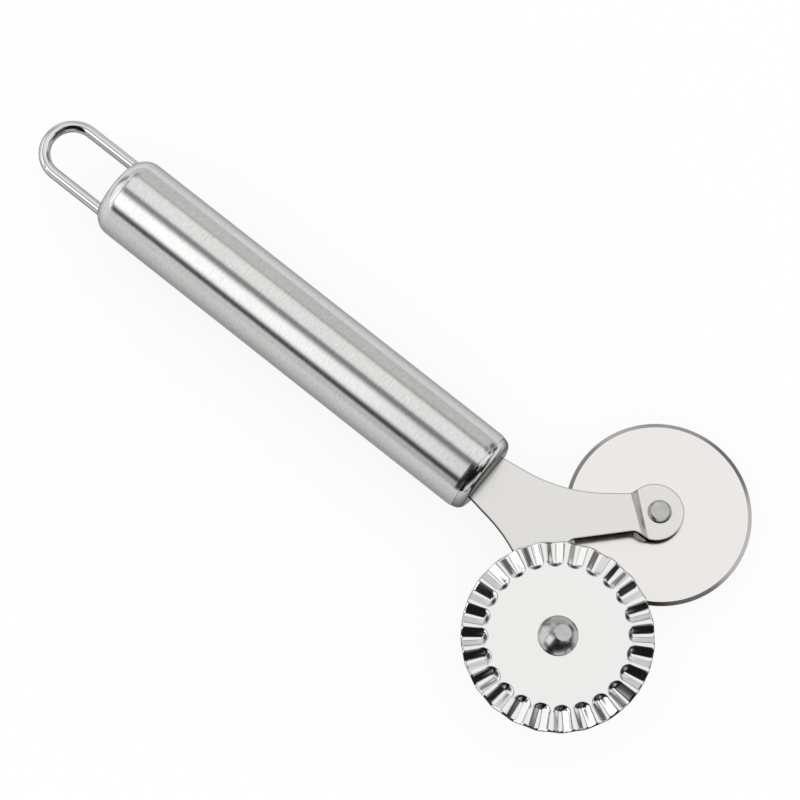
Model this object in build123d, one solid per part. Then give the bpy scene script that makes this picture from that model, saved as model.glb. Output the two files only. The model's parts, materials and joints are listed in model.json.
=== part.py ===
from build123d import *
import os
from math import acos, asin, atan2, cos, degrees, hypot, pi, radians, sin, sqrt, tan

# Double-wheel pastry cutter: a plain wheel and a fluted wheel on a forked plate with a tube handle.
# Millimetres. The origin is the middle of the grip, on its axis. +X points to the wheels,
# +Y to the side of the plain wheel, and +Z to the face of the plate that carries the fluted wheel.

# Handle tube: a straight grip, a slightly rounded front edge, and a rear end drawn in to a lip
TUBE_DIAMETER = 22.0
TUBE_WALL = 0.8
GRIP_LENGTH = 111.5
END_ROUND = 5.0
FRONT_EDGE = 1.5
REAR_LIP = 1.7
REAR_OPENING = TUBE_DIAMETER - 2 * REAR_LIP

# Front cap, pressed from sheet with a flat top, a round edge and a skirt inside the tube
CAP_SHEET = 0.8
CAP_INSET = 0.35
CAP_SKIRT = 5.0
CAP_HEIGHT = 2.4

# Rear cap, a disc in the tube's rear opening
REAR_REACH = 4.3
REAR_DISC = 1.5
REAR_DISC_ROUND = 0.9

# Forked plate
PLATE = 1.5
NECK_WIDTH = 13.2
NECK_FLARE_ANGLE = 8.5
TANG_LENGTH = 30.0
ARM_ANGLE = 43.0
ARM_TAPER = 4.0
ARM_WIDTH = 8.6
EYE_DIAMETER = 14.5
EYE_SETBACK = 1.1
SHOULDER_ROUND = 40.0
CROTCH_ROUND = 2.5
EYE_CORNER_ROUND = 2.5
EYE_STEP = 1.65
RAMP_ANGLE = 42.0
RAMP_TURN = 7.5
RAMP_DISTANCE = 5.5
BEND_ROUND = 0.9

# Wheels, placed from the front end of the tube and from the handle's axis
WHEEL_FORWARD = 41.3
WHEEL_SIDE = 21.0
PLAIN_DIAMETER = 47.0
PLAIN_THICKNESS = 1.0
BEVEL_WIDTH = 1.0
EDGE_THICKNESS = 0.4
FLUTED_DIAMETER = 47.7
FLUTED_SHEET = 0.8
FLUTE_COUNT = 24
FLUTE_TURN = -4.7
FLUTE_TIP_RADIUS = 17.9
FLUTE_NOSE = 0.9
FLUTE_DEPTH = 1.15
RIDGE_WIDTH = 1.1
VALLEY_WIDTH = 0.8

# Axle rivets and spacers
AXLE_DIAMETER = 6.0
SHANK_DIAMETER = 4.6
TAIL_DIAMETER = 6.0
TAIL_FLAT = 4.6
TAIL_RISE = 1.3
HEAD_DIAMETER = 10.0
HEAD_EDGE = 0.3
HEAD_RISE = 2.3
HEAD_FLAT = 4.2
HEAD_FLAT_LEAN = 10.0
HEAD_FLAT_TURN = 55.0
SPACER = 0.6
SPACER_DIAMETER = 10.0

# Hanging loop and the moulded cores in the tube
WIRE_DIAMETER = 3.0
LOOP_REACH = 24.4
LOOP_MARGIN = 0.57
LOOP_WIDTH = REAR_OPENING - 2 * LOOP_MARGIN
LEG_DEPTH = 21.5
CORE_END = 4.0

# Fits: all per side
PRESS_FIT = 0.02
RUNNING_FIT = 0.05
SLOT_FIT = 0.1
WHEEL_PLAY = 0.2

# Corners of an outline closer than this to a place are taken to be at it
SAME_PLACE = 0.001

# Places and sizes that follow from the values above
tube_radius = TUBE_DIAMETER / 2
tube_bore = tube_radius - TUBE_WALL
rear_bore = REAR_OPENING / 2
grip_front = GRIP_LENGTH / 2
grip_rear = -GRIP_LENGTH / 2
front_end = grip_front + FRONT_EDGE
rear_end = grip_rear - REAR_REACH
cap_radius = tube_radius - CAP_INSET
skirt_radius = tube_bore - PRESS_FIT
skirt_bore = skirt_radius - CAP_SHEET
core_radius = tube_bore - PRESS_FIT
wire_radius = WIRE_DIAMETER / 2
leg_side = LOOP_WIDTH / 2 - wire_radius
leg_end = grip_rear + LEG_DEPTH
axle_radius = AXLE_DIAMETER / 2
wheel_bore = axle_radius + RUNNING_FIT
wheel_x = front_end + WHEEL_FORWARD
eye_face = EYE_STEP + PLATE / 2
wheel_face = eye_face + SPACER + WHEEL_PLAY

plain_side = Location((wheel_x, WHEEL_SIDE, 0), (180, 0, 0))
fluted_side = Location((wheel_x, -WHEEL_SIDE, 0))


def revolved(edges, axis):
    return revolve(make_face(edges), axis)


# Handle

def lip_arc(radius, end_round):
    """Arc and end place of a wall that leaves the grip's rear end and curls in to the rear opening."""
    lean = acos(1 - (radius - rear_bore) / end_round)
    arc = CenterArc((grip_rear, radius - end_round), end_round, 90, degrees(lean))
    return arc, (grip_rear - end_round * sin(lean), rear_bore)


def handle_tube():
    outer_lip, outer_end = lip_arc(tube_radius, END_ROUND)
    inner_lip, inner_end = lip_arc(tube_bore, END_ROUND - TUBE_WALL)
    front_lean = asin(FRONT_EDGE / END_ROUND)
    front_radius = tube_radius - END_ROUND * (1 - cos(front_lean))
    outline = [
        outer_lip,
        inner_lip,
        Line(outer_end, inner_end),
        Line((grip_rear, tube_radius), (grip_front, tube_radius)),
        CenterArc((grip_front, tube_radius - END_ROUND), END_ROUND, 90, -degrees(front_lean)),
        Polyline((front_end, front_radius), (front_end, tube_bore), (grip_rear, tube_bore)),
    ]
    return revolved(outline, Axis.X)


def cap():
    """Cap along +X with a flat top and a round edge, its rim lying on the tube's end at x = 0."""
    flat_radius = cap_radius - CAP_HEIGHT
    inner_top = CAP_HEIGHT - CAP_SHEET
    inner_side = skirt_bore - flat_radius
    inner_corner = sqrt(inner_top**2 - inner_side**2)
    inner_angle = degrees(atan2(inner_side, inner_corner))
    outline = [
        CenterArc((0, flat_radius), CAP_HEIGHT, 0, 90),
        CenterArc((0, flat_radius), inner_top, 0, inner_angle),
        Polyline(
            (CAP_HEIGHT, flat_radius),
            (CAP_HEIGHT, 0),
            (inner_top, 0),
            (inner_top, flat_radius),
        ),
        Polyline(
            (inner_corner, skirt_bore),
            (-CAP_SKIRT, skirt_bore),
            (-CAP_SKIRT, skirt_radius),
            (0, skirt_radius),
            (0, cap_radius),
        ),
    ]
    return revolved(outline, Axis.X)


def tang_space(start, end):
    """Room for the plate's tang between two places along the handle."""
    width = NECK_WIDTH + 2 * SLOT_FIT
    height = PLATE + 2 * SLOT_FIT
    return Pos((start + end) / 2, 0, 0) * Box(end - start, width, height)


def front_cap():
    disc = Pos(front_end, 0, 0) * cap()
    return disc - tang_space(front_end - CAP_SKIRT, front_end + CAP_HEIGHT)


def round_bar(radius, start, end):
    """Bar on the handle's axis between two places along it."""
    return Pos((start + end) / 2, 0, 0) * Cylinder(radius, end - start, rotation=(0, 90, 0))


def leg_rods(radius):
    """Two rods where the loop's legs run, from their ends inside the handle to the rear cap's face."""
    rod = round_bar(radius, rear_end, leg_end)
    return [Pos(0, side, 0) * rod for side in (-leg_side, leg_side)]


def rear_cap():
    disc = round_bar(rear_bore - PRESS_FIT, rear_end, rear_end + REAR_DISC)
    outer_edge = disc.edges().filter_by(GeomType.CIRCLE).sort_by(Axis.X)[0]
    return fillet(outer_edge, REAR_DISC_ROUND) - leg_rods(wire_radius + SLOT_FIT)


def tang_plug():
    """Core that holds the tang, seated against the front cap's skirt and the end of the tang."""
    front = front_end - CAP_SKIRT
    tang_end = front_end - TANG_LENGTH
    return round_bar(core_radius, tang_end - CORE_END, front) - tang_space(tang_end, front)


def loop_plug():
    """Core that holds the loop's legs, with a neck that is seated against the rear cap."""
    body = round_bar(core_radius, grip_rear, leg_end + CORE_END)
    neck = round_bar(rear_bore - PRESS_FIT, rear_end + REAR_DISC, grip_rear)
    return body + neck - leg_rods(wire_radius + PRESS_FIT)


def hanging_loop():
    bend_x = rear_end - LOOP_REACH + wire_radius + leg_side
    path = Wire([
        Edge.make_line((leg_end, leg_side, 0), (bend_x, leg_side, 0)),
        Edge.make_three_point_arc((bend_x, leg_side, 0), (bend_x - leg_side, 0, 0), (bend_x, -leg_side, 0)),
        Edge.make_line((bend_x, -leg_side, 0), (leg_end, -leg_side, 0)),
    ])
    section = Plane(origin=(leg_end, leg_side, 0), z_dir=(-1, 0, 0)) * Circle(wire_radius)
    return sweep(section, path)


# Forked plate

def fork_outline():
    """Flat shape of the plate: tang, flared neck, two tapering arms and the round eyes."""
    outer_angle = radians(ARM_ANGLE - ARM_TAPER)
    inner_angle = radians(ARM_ANGLE + ARM_TAPER)
    half_arm = ARM_WIDTH / 2
    outer_x = wheel_x - half_arm * sin(outer_angle)
    outer_y = WHEEL_SIDE + half_arm * cos(outer_angle)
    inner_x = wheel_x + half_arm * sin(inner_angle)
    inner_y = WHEEL_SIDE - half_arm * cos(inner_angle)
    crotch_x = inner_x - inner_y / tan(inner_angle)

    half_neck = NECK_WIDTH / 2
    neck_x = front_end + CAP_HEIGHT
    neck_slope = tan(radians(NECK_FLARE_ANGLE))
    arm_slope = tan(outer_angle)
    rise = outer_y - half_neck - arm_slope * (outer_x - neck_x)
    shoulder_run = rise / (neck_slope - arm_slope)
    shoulder_x = neck_x + shoulder_run
    shoulder_y = half_neck + neck_slope * shoulder_run

    upper = [
        (front_end - TANG_LENGTH, half_neck),
        (neck_x, half_neck),
        (shoulder_x, shoulder_y),
        (outer_x, outer_y),
        (inner_x, inner_y),
    ]
    lower = [(x, -y) for x, y in reversed(upper)]
    outline = make_face(Polyline(*upper, (crotch_x, 0), *lower, close=True))

    shoulders = [v for v in outline.vertices() if abs(v.X - shoulder_x) < SAME_PLACE]
    outline = fillet(shoulders, SHOULDER_ROUND)
    crotch = [v for v in outline.vertices() if abs(v.Y) < SAME_PLACE]
    outline = fillet(crotch, CROTCH_ROUND)

    eye_radius = EYE_DIAMETER / 2
    eye_x = wheel_x - EYE_SETBACK * cos(radians(ARM_ANGLE))
    eye_y = WHEEL_SIDE - EYE_SETBACK * sin(radians(ARM_ANGLE))
    for side in (-eye_y, eye_y):
        centre = Vector(eye_x, side, 0)
        outline += Pos(centre) * Circle(eye_radius)
        corners = []
        for vertex in outline.vertices():
            distance = (Vector(vertex) - centre).length
            if abs(distance - eye_radius) < SAME_PLACE:
                corners.append(vertex)
        outline = fillet(corners, EYE_CORNER_ROUND)
    return outline


def fork_plate():
    """Sheet plate whose eyes are stepped off it, each towards its own wheel."""
    outline = fork_outline()
    half = PLATE / 2
    ramp = EYE_STEP / tan(radians(RAMP_ANGLE))
    ramp_start = -RAMP_DISTANCE - ramp / 2
    ramp_end = -RAMP_DISTANCE + ramp / 2
    lean = half * tan(radians(RAMP_ANGLE / 2))
    strip_start = ramp_start - PLATE
    strip_end = EYE_DIAMETER
    tall = 4 * eye_face

    # Side view of the stepped sheet square to its bends, measured from the axle
    strip = make_face(Polyline(
        (strip_start, half),
        (ramp_start + lean, half),
        (ramp_end + lean, half - EYE_STEP),
        (strip_end, half - EYE_STEP),
        (strip_end, -half - EYE_STEP),
        (ramp_end - lean, -half - EYE_STEP),
        (ramp_start - lean, -half),
        (strip_start, -half),
        close=True,
    ))
    bends = [v for v in strip.vertices() if strip_start < v.X - lean and v.X + lean < 0]
    strip = fillet(bends, BEND_ROUND)

    bend_angle = radians(ARM_ANGLE + RAMP_TURN)
    along = (cos(bend_angle), sin(bend_angle), 0)
    across = (sin(bend_angle), -cos(bend_angle), 0)
    arm_plane = Plane(origin=(wheel_x, WHEEL_SIDE, 0), x_dir=along, z_dir=across)
    side_view = arm_plane * strip
    zone_length = strip_end - strip_start
    zone_view = arm_plane * Pos(strip_start + zone_length / 2, 0) * Rectangle(zone_length, tall)

    arm_reach = EYE_DIAMETER
    upper_arm = extrude(outline, tall / 2, both=True) & extrude(side_view, arm_reach, both=True)
    upper_zone = extrude(zone_view, arm_reach, both=True)

    # The lower arm is the upper one turned half round about the handle's axis
    flat = extrude(outline, half, both=True) - upper_zone - upper_zone.rotate(Axis.X, 180)
    plate = flat + upper_arm + upper_arm.rotate(Axis.X, 180)
    for side in (-WHEEL_SIDE, WHEEL_SIDE):
        plate -= Pos(wheel_x, side, 0) * Cylinder(SHANK_DIAMETER / 2 + PRESS_FIT, tall)
    return plate


# Wheels, drawn with the plate's middle plane at z = 0 and the wheel above it

def plain_wheel():
    radius = PLAIN_DIAMETER / 2
    middle = wheel_face + PLAIN_THICKNESS / 2
    outline = Polyline(
        (wheel_bore, wheel_face),
        (radius - BEVEL_WIDTH, wheel_face),
        (radius, middle - EDGE_THICKNESS / 2),
        (radius, middle + EDGE_THICKNESS / 2),
        (radius - BEVEL_WIDTH, wheel_face + PLAIN_THICKNESS),
        (wheel_bore, wheel_face + PLAIN_THICKNESS),
        close=True,
    )
    return plain_side * revolved(Plane.XZ * outline, Axis.Z)


def flute_section(radius, depth):
    """Cross-section of the bent sheet at a radius, from the top of one ridge to the top of the next."""
    half = radius * tan(pi / FLUTE_COUNT)
    flank_start = half - RIDGE_WIDTH / 2
    flank_end = VALLEY_WIDTH / 2
    front = [
        (-half, 0),
        (-flank_start, 0),
        (-flank_end, -depth),
        (flank_end, -depth),
        (flank_start, 0),
        (half, 0),
    ]
    back = [(y, z - FLUTED_SHEET) for y, z in reversed(front)]
    plane = Plane(origin=(radius, 0, 0), x_dir=(0, 1, 0), z_dir=(1, 0, 0))
    return plane * make_face(Polyline(*front, *back, close=True))


def flute():
    """One pitch of the rim, where a groove sinks below the flat disc and runs out to the edge."""
    rim = FLUTED_DIAMETER / 2
    beyond = rim / cos(pi / FLUTE_COUNT)
    sections = [
        flute_section(FLUTE_TIP_RADIUS, 0),
        flute_section(FLUTE_TIP_RADIUS + FLUTE_NOSE, FLUTE_DEPTH),
        flute_section(beyond, FLUTE_DEPTH),
    ]
    trim_height = 4 * (FLUTE_DEPTH + FLUTED_SHEET)
    return loft(sections, ruled=True) & Cylinder(rim, trim_height)


def fluted_wheel():
    hub_shape = RegularPolygon(FLUTE_TIP_RADIUS, FLUTE_COUNT, major_radius=False, rotation=180 / FLUTE_COUNT)
    hub = extrude(hub_shape - Circle(wheel_bore), -FLUTED_SHEET)
    one = flute()
    flutes = [Rot(0, 0, turn * 360 / FLUTE_COUNT) * one for turn in range(FLUTE_COUNT)]
    wheel = Rot(0, 0, FLUTE_TURN) * hub.fuse(*flutes)
    return fluted_side * Pos(0, 0, wheel_face + FLUTED_SHEET) * wheel


# Axles

def dome(base_radius, flat_radius, base, rise):
    """Side of a dome about the axis, from its base circle to its flat or tip, which lies rise away."""
    centre = base + rise / 2 - (base_radius**2 - flat_radius**2) / (2 * rise)
    ball = hypot(base_radius, base - centre)
    towards = Vector((base_radius + flat_radius) / 2, base + rise / 2 - centre).normalized()
    halfway = (ball * towards.X, ball * towards.Y + centre)
    return ThreePointArc((base_radius, base), halfway, (flat_radius, base + rise))


def hammered_plane(dome_top):
    """Plane of the flat on a rivet's head, which leans to one side of the dome's top."""
    ball = (HEAD_DIAMETER**2 / 4 + HEAD_RISE**2) / (2 * HEAD_RISE)
    lean = radians(HEAD_FLAT_LEAN)
    turn = radians(HEAD_FLAT_TURN)
    towards = Vector(sin(lean) * cos(turn), sin(lean) * sin(turn), cos(lean))
    distance = sqrt(ball**2 - HEAD_FLAT**2 / 4)
    return Plane(origin=Vector(0, 0, dome_top - ball) + distance * towards, z_dir=towards)


def rivet(wheel_thickness):
    """Rivet with a domed head above the wheel, a shoulder that the wheel turns on, and a peened tail."""
    shank = SHANK_DIAMETER / 2
    tail = TAIL_DIAMETER / 2
    tail_flat = TAIL_FLAT / 2
    head = HEAD_DIAMETER / 2
    head_base = wheel_face + wheel_thickness + WHEEL_PLAY
    dome_base = head_base + HEAD_EDGE
    dome_top = dome_base + HEAD_RISE
    tail_face = eye_face - PLATE
    outline = [
        dome(head, 0, dome_base, HEAD_RISE),
        Polyline(
            (0, dome_top),
            (0, tail_face - TAIL_RISE),
            (tail_flat, tail_face - TAIL_RISE),
        ),
        dome(tail, tail_flat, tail_face, -TAIL_RISE),
        Polyline(
            (tail, tail_face),
            (shank, tail_face),
            (shank, eye_face),
            (axle_radius, eye_face),
            (axle_radius, head_base),
            (head, head_base),
            (head, dome_base),
        ),
    ]
    body = revolved([Plane.XZ * edge for edge in outline], Axis.Z)
    return split(body, bisect_by=hammered_plane(dome_top), keep=Keep.BOTTOM)


def spacer():
    washer = Circle(SPACER_DIAMETER / 2) - Circle(axle_radius + RUNNING_FIT)
    return extrude(Pos(0, 0, eye_face) * washer, SPACER)


nodes = {
    "handle_tube": handle_tube(),
    "front_cap": front_cap(),
    "rear_cap": rear_cap(),
    "tang_plug": tang_plug(),
    "loop_plug": loop_plug(),
    "hanging_loop": hanging_loop(),
    "fork_plate": fork_plate(),
    "plain_wheel": plain_wheel(),
    "plain_wheel_rivet": plain_side * rivet(PLAIN_THICKNESS),
    "plain_wheel_spacer": plain_side * spacer(),
    "fluted_wheel": fluted_wheel(),
    "fluted_wheel_rivet": fluted_side * rivet(FLUTED_SHEET),
    "fluted_wheel_spacer": fluted_side * spacer(),
}

os.makedirs("parts", exist_ok=True)
for name, solid in nodes.items():
    export_step(solid, f"parts/{name}.step")
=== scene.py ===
import json
from math import pi, radians

import bpy
import numpy as np
from mathutils import Matrix, Vector


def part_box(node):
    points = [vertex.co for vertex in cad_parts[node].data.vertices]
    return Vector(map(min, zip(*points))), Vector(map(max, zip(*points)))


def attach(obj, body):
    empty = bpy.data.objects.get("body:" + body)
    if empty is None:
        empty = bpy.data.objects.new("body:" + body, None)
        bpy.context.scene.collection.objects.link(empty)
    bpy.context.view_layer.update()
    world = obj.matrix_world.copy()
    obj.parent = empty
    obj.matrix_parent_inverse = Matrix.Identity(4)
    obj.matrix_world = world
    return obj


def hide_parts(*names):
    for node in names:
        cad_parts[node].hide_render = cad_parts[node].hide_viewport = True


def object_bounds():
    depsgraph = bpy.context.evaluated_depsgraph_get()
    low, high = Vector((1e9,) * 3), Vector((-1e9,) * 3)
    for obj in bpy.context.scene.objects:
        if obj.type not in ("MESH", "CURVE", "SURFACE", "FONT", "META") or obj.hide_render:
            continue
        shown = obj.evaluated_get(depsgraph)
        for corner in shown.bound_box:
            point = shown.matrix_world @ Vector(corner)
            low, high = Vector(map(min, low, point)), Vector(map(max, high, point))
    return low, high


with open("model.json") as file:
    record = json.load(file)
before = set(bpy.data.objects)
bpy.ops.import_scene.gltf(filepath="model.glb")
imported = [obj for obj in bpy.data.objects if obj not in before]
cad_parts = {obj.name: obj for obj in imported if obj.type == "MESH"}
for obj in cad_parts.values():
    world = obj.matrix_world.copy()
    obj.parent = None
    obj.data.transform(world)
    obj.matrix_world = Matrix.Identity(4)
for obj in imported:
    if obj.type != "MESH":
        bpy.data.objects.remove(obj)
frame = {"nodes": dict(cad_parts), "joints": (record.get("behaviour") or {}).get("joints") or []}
cad_low, cad_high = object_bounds()
nodes = frame["nodes"]
MM = 0.001

# Wheel centres come from the joints, the rest of the sizes repeat the solids

centres = {joint["child"]: Vector(joint["pos_m"]) for joint in frame["joints"]}

AXLE_BORE_RADIUS = 3.05 * MM
PLAIN_RADIUS = 23.5 * MM
BEVEL_WIDTH = 1.0 * MM
REAR_END_START = -55.75 * MM

FLUTED_RADIUS = 23.85 * MM
FLUTED_SHEET = 0.8 * MM
FLUTE_COUNT = 24
FLUTE_DEPTH = 1.15 * MM
RIDGE_TURN = radians(2.8)

# Forms that are finer than in the solids, where flats and rounds across a flute are shares of half of it

GROOVE_TIP_RADIUS = 17.4 * MM
RIDGE_TIP_RADIUS = 19.0 * MM
FLUTE_NOSE = 0.95 * MM
NOSE_EDGE_ROUND = 0.2 * MM
FLUTE_RIM_ROUND = 0.12 * MM
RIDGE_FLAT = 0.22
VALLEY_FLAT = 0.16
RIDGE_ROUND = 0.16
VALLEY_ROUND = 0.05
PLATE_EDGE_ROUND = 0.2 * MM

# Steps of the fine mesh

FLUTE_STEPS_ROUND = 24
FLAT_STEPS = 6
NOSE_STEPS = 26
RIM_STEPS = 8
SMOOTH_ANGLE = radians(50)

# Values that several materials share

# Painted shade in the seams where the caps meet the tube: how far it reaches and how dark it gets
SEAM_REACH = 0.55 * MM
SEAM_SHADE = 0.04
CLOUD_SCALE = 120.0
GAP_SAMPLES = 8


def grey(level):
    return (level, level, level, 1)


def add_object(name, data):
    piece = bpy.data.objects.new(name, data)
    bpy.context.scene.collection.objects.link(piece)
    return piece


def set_material(piece, material):
    piece.data.materials.clear()
    piece.data.materials.append(material)


# Shader helper

class Shader:
    """A node material, with short ways to add nodes and join them."""

    def __init__(self, name):
        self.material = bpy.data.materials.new(name)
        self.material.use_nodes = True
        self.tree = self.material.node_tree
        self.surface = self.tree.nodes["Principled BSDF"]

    def add(self, kind, inputs=None, **settings):
        node = self.tree.nodes.new(kind)
        for key, value in settings.items():
            setattr(node, key, value)
        self.feed(node, inputs or {})
        return node

    def feed(self, node, inputs):
        for key, value in inputs.items():
            if isinstance(value, bpy.types.NodeSocket):
                self.tree.links.new(value, node.inputs[key])
            else:
                node.inputs[key].default_value = value

    def math(self, operation, first, second=0.0):
        return self.add("ShaderNodeMath", {0: first, 1: second}, operation=operation).outputs[0]

    def vector_math(self, operation, first, second=(0, 0, 0)):
        """Outputs Vector and Value of one vector operation."""
        return self.add("ShaderNodeVectorMath", {0: first, 1: second}, operation=operation).outputs

    def place(self):
        """Position on the piece, which turns with the piece."""
        return self.add("ShaderNodeTexCoord").outputs["Object"]

    def split(self, vector):
        return self.add("ShaderNodeSeparateXYZ", {0: vector}).outputs

    def join(self, x, y, z=0.0):
        return self.add("ShaderNodeCombineXYZ", {0: x, 1: y, 2: z}).outputs[0]

    def noise(self, vector, scale, detail):
        inputs = {"Vector": vector, "Scale": scale, "Detail": detail}
        return self.add("ShaderNodeTexNoise", inputs).outputs["Fac"]

    def spread(self, value, low, high, start=0.0, end=1.0):
        """Maps start to end onto low to high."""
        inputs = {"Value": value, "From Min": start, "From Max": end, "To Min": low, "To Max": high}
        return self.add("ShaderNodeMapRange", inputs).outputs[0]

    def step(self, value, start, end):
        """Smooth step from 0 at start to 1 at end."""
        inputs = {"Value": value, "From Min": start, "From Max": end}
        return self.add("ShaderNodeMapRange", inputs, interpolation_type="SMOOTHSTEP").outputs[0]

    def weigh(self, first, share, second):
        """Weighted mean of two numbers, where the first one has the share."""
        rest = self.math("MULTIPLY", second, 1 - share)
        return self.math("ADD", self.math("MULTIPLY", first, share), rest)

    def between(self, share, first, second):
        """Number that goes from first to second as the share goes from 0 to 1."""
        return self.add("ShaderNodeMix", {0: share, 2: first, 3: second}).outputs[0]

    def blend(self, share, first, second):
        """Colour that goes from first to second as the share goes from 0 to 1."""
        inputs = {"Factor": share, "A": first, "B": second}
        node = self.add("ShaderNodeMix", data_type="RGBA")
        sockets = {socket.name: socket for socket in node.inputs if socket.enabled}
        for key, value in inputs.items():
            self.tree.links.new(value, sockets[key])
        return next(socket for socket in node.outputs if socket.enabled)

    def tint(self, value, dark, light):
        """Colour from dark at 0 to light at 1."""
        ramp = self.add("ShaderNodeValToRGB", {"Fac": value})
        ramp.color_ramp.elements[0].color = (*dark, 1)
        ramp.color_ramp.elements[1].color = (*light, 1)
        return ramp.outputs["Color"]

    def shade(self, colour, *factors):
        """Colour made darker by each factor in turn."""
        for factor in factors:
            inputs = {0: colour, "Scale": factor}
            colour = self.add("ShaderNodeVectorMath", inputs, operation="SCALE").outputs[0]
        return colour

    def openness(self, distance, **settings):
        """1 where no surface is nearer than the distance, and less in between surfaces."""
        settings["samples"] = GAP_SAMPLES
        return self.add("ShaderNodeAmbientOcclusion", {"Distance": distance}, **settings).outputs["AO"]

    def corners(self, low, distance, closed=0.45, open_air=0.95):
        """Painted shade: factor that falls to low between surfaces and in corners, up to a distance from
        the next surface.
        """
        return self.spread(self.openness(distance), low, 1.0, closed, open_air)

    def edges(self, low, width, sharp=0.45, flat=0.9):
        """Painted shade: factor that falls to low along sharp outer edges."""
        depth = self.openness(width, inside=True, only_local=True)
        return self.spread(depth, low, 1.0, sharp, flat)

    def levelness(self):
        """1 on a level face, down to 0 on an upright one."""
        normal = self.add("ShaderNodeNewGeometry").outputs["Normal"]
        return self.math("ABSOLUTE", self.split(normal)[2])

    def painted_wall_shade(self, low, steep=0.3, gentle=0.7):
        """Painted shade: factor that falls to low on upright faces."""
        return self.spread(self.levelness(), low, 1.0, steep, gentle)

    def from_axis(self, centre):
        """Offset of a place on a wheel from the wheel's axis."""
        offset = self.vector_math("SUBTRACT", self.place(), centre)["Vector"]
        x, y, z = self.split(offset)
        return self.join(x, y)

    def outward_slope_shade(self, centre, low, start=0.3, end=0.7):
        """Painted shade: factor that falls to low where a wheel's face leans away from its centre."""
        outward = self.vector_math("NORMALIZE", self.from_axis(centre))["Vector"]
        normal = self.add("ShaderNodeTexCoord").outputs["Normal"]
        lean = self.vector_math("DOT_PRODUCT", outward, normal)["Value"]
        return self.spread(lean, 1.0, low, start, end)

    def bump(self, height, depth, strength=1.0):
        inputs = {"Height": height, "Distance": depth, "Strength": strength}
        return self.add("ShaderNodeBump", inputs).outputs[0]

    def finish(self, **inputs):
        """Sets the surface's inputs, named with low lines in place of spaces."""
        self.feed(self.surface, {key.replace("_", " "): value for key, value in inputs.items()})
        return self.material


# Materials

def brushed_tube():
    """Stainless tube with fine brush lines that run round it, and a polished rear end."""
    lines_per_metre = 1700.0
    breaks_per_radian = 6.0
    patches_per_metre = 60.0
    line_share = 0.8
    end_blend = 1.0 * MM

    shader = Shader("brushed_tube")
    x, y, z = shader.split(shader.place())
    angle = shader.math("ARCTAN2", y, z)
    along = shader.math("MULTIPLY", x, lines_per_metre)
    around = shader.math("MULTIPLY", angle, breaks_per_radian)
    lines = shader.noise(shader.join(along, around), scale=1.0, detail=4.0)
    along = shader.math("MULTIPLY", x, patches_per_metre)
    patches = shader.noise(shader.join(along, angle), scale=1.0, detail=2.0)
    mixed = shader.weigh(lines, line_share, patches)

    brushed = shader.step(x, REAR_END_START - end_blend, REAR_END_START)
    brushed_colour = shader.tint(mixed, dark=(0.56, 0.55, 0.54), light=(0.91, 0.905, 0.895))
    polished_colour = shader.tint(mixed, dark=(0.74, 0.74, 0.74), light=(0.80, 0.80, 0.80))
    brushed_rough = shader.spread(lines, low=0.17, high=0.23)
    polished_rough = shader.spread(lines, low=0.13, high=0.18)
    return shader.finish(
        Metallic=1.0,
        # Painted shade: the tube's upright sides and the seams at the caps are darker.
        Base_Color=shader.shade(
            shader.blend(brushed, polished_colour, brushed_colour),
            shader.painted_wall_shade(low=0.58, steep=0.2, gentle=0.9),
            shader.corners(SEAM_SHADE, SEAM_REACH),
        ),
        Roughness=shader.between(brushed, polished_rough, brushed_rough),
        Specular_Tint=grey(0.55),
        Anisotropic=0.45,
        Anisotropic_Rotation=0.25,
        Tangent=shader.add("ShaderNodeTangent", direction_type="RADIAL", axis="X").outputs[0],
        Normal=shader.bump(lines, depth=0.0012 * MM),
    )


def polished_steel():
    """Bright polished steel with faint wipe marks."""
    shader = Shader("polished_steel")
    place = shader.place()
    haze = shader.noise(place, scale=350.0, detail=3.0)
    marks = shader.noise(place, scale=2600.0, detail=2.0)
    return shader.finish(
        Metallic=1.0,
        # Painted shade: upright faces and the seams at the tube are darker.
        Base_Color=shader.shade(
            shader.tint(haze, dark=(0.70, 0.70, 0.70), light=(0.78, 0.78, 0.775)),
            shader.painted_wall_shade(low=0.4, steep=0.3, gentle=0.85),
            shader.corners(SEAM_SHADE, SEAM_REACH),
        ),
        Specular_Tint=grey(0.3),
        Roughness=shader.spread(haze, low=0.06, high=0.12),
        Normal=shader.bump(marks, depth=0.0008 * MM),
    )


def rivet_steel():
    """Dull tumbled steel of the axle rivets."""
    shader = Shader("rivet_steel")
    place = shader.place()
    blotches = shader.noise(place, scale=700.0, detail=3.0)
    grain = shader.noise(place, scale=4500.0, detail=2.0)
    return shader.finish(
        Metallic=1.0,
        # Painted shade where the rivets meet the fork and the wheels.
        Base_Color=shader.shade(
            shader.tint(blotches, dark=(0.38, 0.38, 0.37), light=(0.64, 0.64, 0.63)),
            shader.corners(low=0.08, distance=0.8 * MM),
        ),
        Roughness=shader.spread(blotches, low=0.17, high=0.27),
        Normal=shader.bump(grain, depth=0.003 * MM),
    )


def satin_sheet(name, dark, light, smooth, rough):
    """Shader, colour and roughness of rolled stainless sheet with a soft satin grain."""
    grain_stretch = 0.25
    grain_share = 0.5

    shader = Shader(name)
    place = shader.place()
    x, y, z = shader.split(place)
    stretched = shader.join(shader.math("MULTIPLY", x, grain_stretch), y, z)
    grain = shader.noise(stretched, scale=5200.0, detail=3.0)
    clouds = shader.noise(place, CLOUD_SCALE, detail=2.0)
    mixed = shader.weigh(grain, grain_share, clouds)
    shader.finish(Metallic=1.0, Normal=shader.bump(grain, depth=0.002 * MM))
    return shader, shader.tint(mixed, dark, light), shader.spread(mixed, smooth, rough)


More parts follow.
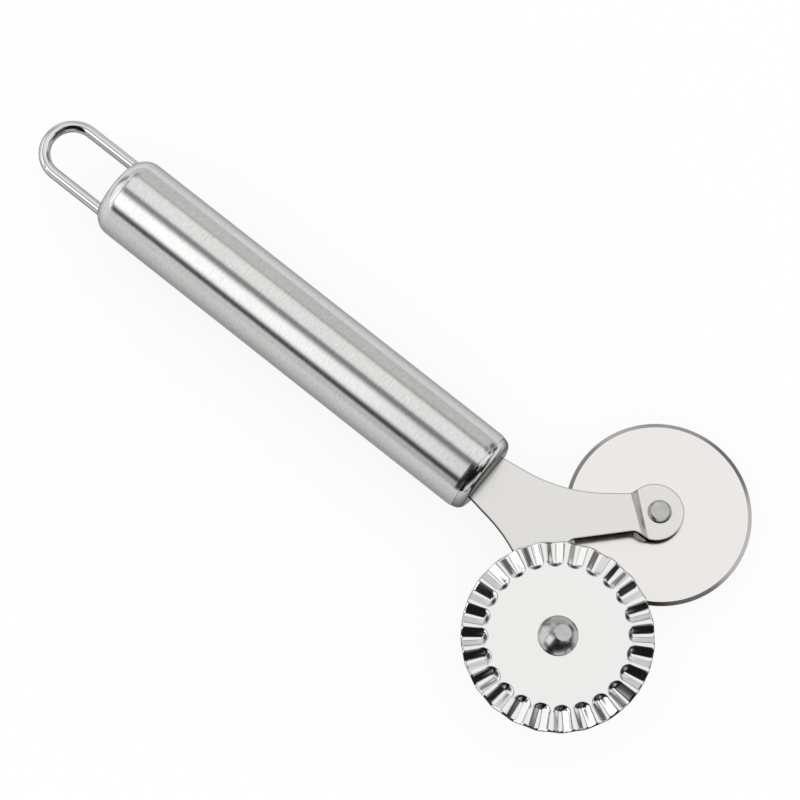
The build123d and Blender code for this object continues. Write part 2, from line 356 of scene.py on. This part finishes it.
def satin_plate():
    """Sheet of the fork with painted shade near other parts, along its edges and on its upright sheared
    faces, and rougher where it is bent.
    """
    flat_level = 0.97
    bent_level = 0.85
    bent_rough = 0.42

    dark, light = (0.76, 0.74, 0.705), (0.81, 0.795, 0.765)
    shader, colour, flat_rough = satin_sheet("satin_plate", dark, light, smooth=0.20, rough=0.26)
    # Painted shade near other parts and in corners, along outer edges and on upright faces, the last
    # also in the reflection's tint.
    gap_shade = shader.corners(low=0.1, distance=1.0 * MM, closed=0.42, open_air=0.8)
    edges = shader.edges(low=0.25, width=0.5 * MM)
    painted_wall_shade = shader.painted_wall_shade(low=0.06)
    bent = shader.step(shader.levelness(), flat_level, bent_level)
    return shader.finish(
        Base_Color=shader.shade(colour, gap_shade, edges, painted_wall_shade),
        Specular_Tint=painted_wall_shade,
        Roughness=shader.between(bent, flat_rough, bent_rough),
    )


def fluted_sheet():
    """Sheet of the fluted wheel, with painted shade where a face leans outward."""
    dark, light = (0.83, 0.825, 0.81), (0.87, 0.865, 0.855)
    shader, colour, roughness = satin_sheet("fluted_sheet", dark, light, smooth=0.10, rough=0.14)
    slope_shade = shader.outward_slope_shade(centres["fluted_wheel"], low=0.08)
    return shader.finish(Base_Color=shader.shade(colour, slope_shade), Roughness=roughness)


def wheel_with_ground_edge():
    """Satin disc with fine rings, a darker ground bevel along its edge, and painted shadow under the
    fork.
    """
    rings_per_metre = 9000.0
    grain_share = 0.5
    half_blend = 0.05 * MM
    bevel_start = PLAIN_RADIUS - BEVEL_WIDTH

    shader = Shader("wheel_with_ground_edge")
    place = shader.place()
    offset = shader.from_axis(centres["plain_wheel"])
    x, y, z = shader.split(offset)
    angle = shader.math("ARCTAN2", y, x)
    radius = shader.vector_math("LENGTH", offset)["Value"]
    on_bevel = shader.step(radius, bevel_start - half_blend, bevel_start + half_blend)
    ring_place = shader.join(shader.math("MULTIPLY", radius, rings_per_metre), angle)
    rings = shader.noise(ring_place, scale=1.0, detail=3.0)
    grain = shader.noise(place, scale=4200.0, detail=3.0)
    clouds = shader.noise(place, CLOUD_SCALE, detail=2.0)
    mixed = shader.weigh(grain, grain_share, clouds)

    flat_colour = shader.tint(mixed, dark=(0.83, 0.805, 0.785), light=(0.88, 0.855, 0.835))
    bevel_colour = shader.tint(rings, dark=(0.38, 0.38, 0.375), light=(0.60, 0.60, 0.595))
    flat_rough = shader.spread(mixed, low=0.17, high=0.23)
    bevel_rough = shader.spread(rings, low=0.14, high=0.22)
    return shader.finish(
        Metallic=1.0,
        Base_Color=shader.shade(
            shader.blend(on_bevel, flat_colour, bevel_colour),
            # Painted shadow on the wheel under the fork's arm and eye.
            shader.corners(low=0.1, distance=2.5 * MM, closed=0.3, open_air=0.55),
        ),
        Roughness=shader.between(on_bevel, flat_rough, bevel_rough),
        Normal=shader.bump(rings, depth=0.004 * MM, strength=0.5),
    )


def core_plastic():
    """Moulded black plastic with a fine eroded texture."""
    shader = Shader("core_plastic")
    grain = shader.noise(shader.place(), scale=2500.0, detail=4.0)
    return shader.finish(
        Base_Color=shader.tint(grain, dark=(0.015, 0.015, 0.016), light=(0.035, 0.035, 0.036)),
        Roughness=shader.spread(grain, low=0.45, high=0.62),
        Normal=shader.bump(grain, depth=0.02 * MM),
    )


# Fluted wheel, replaced by a finer mesh with rounded flutes

def soft_positive(x, width):
    """About x where x is positive and 0 where it is negative, with a round corner that wide."""
    return (x + np.sqrt(x**2 + width**2)) / 2


def flute_height(radius, turn):
    """Height of the sheet over the flat disc: grooves that start in scallops, between flat ridges."""
    pitch = 2 * pi / FLUTE_COUNT
    from_groove = np.abs((turn - RIDGE_TURN) % pitch - pitch / 2) / (pitch / 2)
    past_valley = soft_positive(from_groove - VALLEY_FLAT, VALLEY_ROUND)
    past_flank = soft_positive(from_groove - (1 - RIDGE_FLAT), RIDGE_ROUND)
    sunk = 1 - (past_valley - past_flank) / (1 - RIDGE_FLAT - VALLEY_FLAT)
    bow = 1 - np.sqrt(1 - from_groove**2)
    scallop = GROOVE_TIP_RADIUS + (RIDGE_TIP_RADIUS - GROOVE_TIP_RADIUS) * bow
    inset = radius - scallop
    started = soft_positive(inset, NOSE_EDGE_ROUND) - soft_positive(inset - FLUTE_NOSE, NOSE_EDGE_ROUND)
    return -FLUTE_DEPTH * sunk * started / FLUTE_NOSE


def wheel_profile():
    """Radius and level of each ring of the sheet: front face outward, rim, back face inward."""
    nose_start = GROOVE_TIP_RADIUS - 2 * NOSE_EDGE_ROUND
    nose_end = RIDGE_TIP_RADIUS + FLUTE_NOSE + NOSE_EDGE_ROUND
    flat_part = np.linspace(AXLE_BORE_RADIUS, nose_start, FLAT_STEPS)
    nose_part = np.linspace(nose_start, nose_end, NOSE_STEPS)
    rim_part = np.linspace(nose_end, FLUTED_RADIUS - FLUTE_RIM_ROUND, RIM_STEPS)
    face = np.concatenate([flat_part[:-1], nose_part[:-1], rim_part])
    front = [(radius, 0.0) for radius in face]
    back = [(radius, -FLUTED_SHEET) for radius in reversed(face)]
    rim = [(FLUTED_RADIUS, -FLUTE_RIM_ROUND), (FLUTED_RADIUS, FLUTE_RIM_ROUND - FLUTED_SHEET)]
    return front + rim + back


def fluted_wheel_mesh():
    """Closed sheet on a polar grid, whose last ring joins the first one through the bore."""
    steps = FLUTE_COUNT * FLUTE_STEPS_ROUND
    turn = np.arange(steps) * 2 * pi / steps
    points = []
    for radius, level in wheel_profile():
        height = level + flute_height(radius, turn)
        points.append(np.stack([radius * np.cos(turn), radius * np.sin(turn), height], 1))

    count = len(points)
    quads = []
    for ring in range(count):
        following = (ring + 1) % count
        for step in range(steps):
            beside = (step + 1) % steps
            quads.append((
                ring * steps + step,
                following * steps + step,
                following * steps + beside,
                ring * steps + beside,
            ))
    mesh = bpy.data.meshes.new("fluted_wheel_fine")
    mesh.from_pydata(np.concatenate(points).tolist(), [], quads)
    mesh.validate()
    return mesh


def fluted_wheel():
    mesh = fluted_wheel_mesh()
    wheel = add_object("fluted_wheel_fine", mesh)
    centre = centres["fluted_wheel"]
    front_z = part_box("fluted_wheel")[1].z
    mesh.transform(Matrix.Translation((centre.x, centre.y, front_z)))
    mesh.shade_smooth()
    mesh.set_sharp_from_angle(angle=SMOOTH_ANGLE)
    set_material(wheel, fluted_sheet())
    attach(wheel, "fluted_wheel")
    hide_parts("fluted_wheel")


fluted_wheel()


# Carried-over solids

polished = polished_steel()
plate = satin_plate()
rivets = rivet_steel()
plastic = core_plastic()
finishes = {
    "handle_tube": brushed_tube(),
    "front_cap": polished,
    "rear_cap": polished,
    "hanging_loop": polished,
    "plain_wheel_rivet": rivets,
    "fluted_wheel_rivet": rivets,
    "fork_plate": plate,
    "plain_wheel_spacer": plate,
    "fluted_wheel_spacer": plate,
    "plain_wheel": wheel_with_ground_edge(),
    "tang_plug": plastic,
    "loop_plug": plastic,
}
for name, finish in finishes.items():
    set_material(nodes[name], finish)


def soften_edges(piece, width):
    """Rounds the sharp edges of a solid a little, as tumbling leaves them."""
    weld = piece.modifiers.new("weld", "WELD")
    weld.merge_threshold = 0.001 * MM
    bevel = piece.modifiers.new("soft_edges", "BEVEL")
    bevel.width = width
    bevel.segments = 3
    bevel.limit_method = "ANGLE"
    bevel.angle_limit = radians(35)


soften_edges(nodes["fork_plate"], PLATE_EDGE_ROUND)


# Floor

FLOOR_HALF_SIDE = 3.0
FLOOR_GREY = 0.97

# How much of the floor's colour is plain white, so that the object's shadow stays faint
FLOOR_WHITE_SHARE = 0.85


def floor_material():
    shader = Shader("pale_floor")
    shader.finish(Base_Color=grey(FLOOR_GREY), Roughness=1.0, Specular_IOR_Level=0.0)
    shaded = shader.surface.outputs[0]
    white = shader.add("ShaderNodeEmission", {"Color": grey(1)}).outputs[0]
    path = shader.add("ShaderNodeLightPath").outputs
    seen = shader.math("MAXIMUM", path["Is Camera Ray"], path["Is Transmission Ray"])
    seen = shader.math("MAXIMUM", seen, path["Is Glossy Ray"])
    share = shader.math("MULTIPLY", seen, FLOOR_WHITE_SHARE)
    mixed = shader.add("ShaderNodeMixShader", {0: share, 1: shaded, 2: white}).outputs[0]
    shader.feed(shader.tree.nodes["Material Output"], {"Surface": mixed})
    return shader.material


def pale_floor():
    half = FLOOR_HALF_SIDE
    outline = [(-half, -half), (half, -half), (half, half), (-half, half)]
    corners = [(x, y, cad_low.z) for x, y in outline]
    mesh = bpy.data.meshes.new("floor")
    mesh.from_pydata(corners, [], [(0, 1, 2, 3)])
    floor = add_object("floor", mesh)
    set_material(floor, floor_material())


pale_floor()


# Studio panels

# What the metal mirrors, with later panels in front of earlier ones: name, brightness, and limits as
# low, high, soft low edge, soft high edge. A turn is in degrees about the handle's axis, where 0 is
# straight up and plus is to the plain wheel's side. Along is the direction's part along the handle and
# rise its part straight up, both from -1 to 1.
PANELS = (
    ("far_wall", 0.67, {"turn": (56, 110, 6, 10), "along": (-0.8, 0.02, 0.1, 0.06)}),
    ("gap", 0.25, {"turn": (-40, 3, 4, 4), "along": (-0.5, 1.0, 0.1, 0.1)}),
    ("ceiling", 1.0, {"turn": (3, 45, 4, 5), "along": (-0.5, 0.58, 0.12, 0.08)}),
    ("ceiling_edge", 0.5, {"turn": (46, 53, 4, 4), "along": (-0.35, -0.1, 0.1, 0.1)}),
    ("ceiling_corner", 0.2, {"turn": (43, 56, 4, 4), "along": (-0.1, 0.28, 0.1, 0.08)}),
    ("window", 1.54, {"turn": (-80, -14.8, 4, 16), "along": (-1.0, -0.09, 0.1, 0.12)}),
    ("window_foot", 0.02, {
        "turn": (-130, -5, 4, 4), "rise": (0.29, 0.55, 0.12, 0.16), "along": (-0.48, 0.1, 0.1, 0.1),
    }),
    ("below_window", 0.93, {"turn": (-130, -5, 4, 4), "rise": (-1.0, 0.27, 0.1, 0.08)}),
    ("rear_line", 0.05, {"turn": (-64, 26, 6, 8), "along": (-0.61, -0.54, 0.04, 0.04)}),
    ("rear_wall", 1.1, {"turn": (-60, 10, 20, 20), "along": (-1.1, -0.72, 0.1, 0.06)}),
    ("rear_right", 0.22, {"turn": (30, 56, 12, 8), "along": (-1.1, -0.8, 0.1, 0.06)}),
    ("rear_horizon", 0.15, {"along": (-1.1, -0.93, 0.1, 0.03), "rise": (0.03, 0.13, 0.04, 0.04)}),
    ("far_end", 0.35, {"turn": (42, 62, 10, 6), "along": (-0.62, -0.36, 0.1, 0.1)}),
    ("viewer", 0.01, {"turn": (-95, -4, 4, 6), "along": (-0.09, 0.93, 0.1, 0.08)}),
    ("viewer_low", 0.14, {
        "turn": (-110, -12, 10, 10), "rise": (-1.0, 0.50, 0.1, 0.08), "along": (0.3, 0.93, 0.15, 0.08),
    }),
    ("right", 0.015, {"turn": (-4, 54, 6, 6), "along": (0.60, 1.1, 0.06, 0.1)}),
    ("right_side", 0.17, {"turn": (32, 57, 16, 6), "along": (0.60, 1.1, 0.06, 0.1)}),
    ("right_gap", 0.25, {"turn": (-14, 11, 6, 8), "along": (0.34, 0.62, 0.1, 0.06)}),
    ("right_horizon", 0.12, {"turn": (60, 82, 8, 6), "along": (0.05, 0.64, 0.1, 0.06)}),
    ("right_far", 0.38, {"turn": (50, 85, 6, 6), "along": (0.64, 1.1, 0.06, 0.1)}),
    ("right_low", 0.95, {"along": (0.47, 0.9, 0.1, 0.06), "rise": (-1.0, 0.29, 0.1, 0.08)}),
    ("right_lamp", 1.2, {"turn": (8, 30, 6, 6), "along": (0.64, 0.73, 0.03, 0.03)}),
)
BETWEEN_PANELS = 0.8
DEGREES_IN_RADIAN = 180 / pi


class WorldShader(Shader):
    """The scene's world, built with the same short ways."""

    def __init__(self, name):
        self.world = bpy.data.worlds.new(name)
        self.world.use_nodes = True
        self.tree = self.world.node_tree
        self.tree.nodes.clear()
        bpy.context.scene.world = self.world


def inside_panel(shader, measures, limits):
    """1 within all the limits of a panel and 0 outside, with soft edges."""
    inside = []
    for measure, (low, high, soft_low, soft_high) in limits.items():
        value = measures[measure]
        inside.append(shader.step(value, low - soft_low / 2, low + soft_low / 2))
        inside.append(shader.step(value, high + soft_high / 2, high - soft_high / 2))
    product = inside[0]
    for factor in inside[1:]:
        product = shader.math("MULTIPLY", product, factor)
    return product


def studio_world():
    """White to the eye and for soft light, with bright and dark panels for the metal to mirror."""
    shader = WorldShader("studio")
    shader.world.cycles.sampling_method = "NONE"
    direction = shader.add("ShaderNodeTexCoord").outputs["Generated"]
    x, y, z = shader.split(direction)
    turn = shader.math("MULTIPLY", shader.math("ARCTAN2", y, z), DEGREES_IN_RADIAN)
    measures = {"turn": turn, "along": x, "rise": z}
    level = BETWEEN_PANELS
    for name, brightness, limits in PANELS:
        level = shader.between(inside_panel(shader, measures, limits), level, brightness)
    panels = shader.add("ShaderNodeBackground", {"Color": level}).outputs[0]
    plain = shader.add("ShaderNodeBackground", {"Color": grey(1)}).outputs[0]
    mirrored = shader.add("ShaderNodeLightPath").outputs["Is Glossy Ray"]
    mixed = shader.add("ShaderNodeMixShader", {0: mirrored, 1: plain, 2: panels}).outputs[0]
    shader.add("ShaderNodeOutputWorld", {"Surface": mixed})


studio_world()


# Camera

def photo_camera():
    """Camera of the photograph: place, and its right and up directions, in the object's frame."""
    place = Vector((139.15, -176.7, 724.3)) * MM
    right = Vector((0.7781, 0.627, 0.0379)).normalized()
    up = Vector((-0.6114, 0.742, 0.275))
    back = right.cross(up).normalized()
    up = back.cross(right)
    data = bpy.data.cameras.new("photo_camera")
    data.sensor_width = 36.0
    data.lens = 135.0
    data.clip_start = 0.05
    camera = add_object("photo_camera", data)
    turned = Matrix((right, up, back)).transposed()
    camera.matrix_world = Matrix.Translation(place) @ turned.to_4x4()
    bpy.context.scene.camera = camera


photo_camera()
bpy.context.scene.view_settings.view_transform = "Standard"
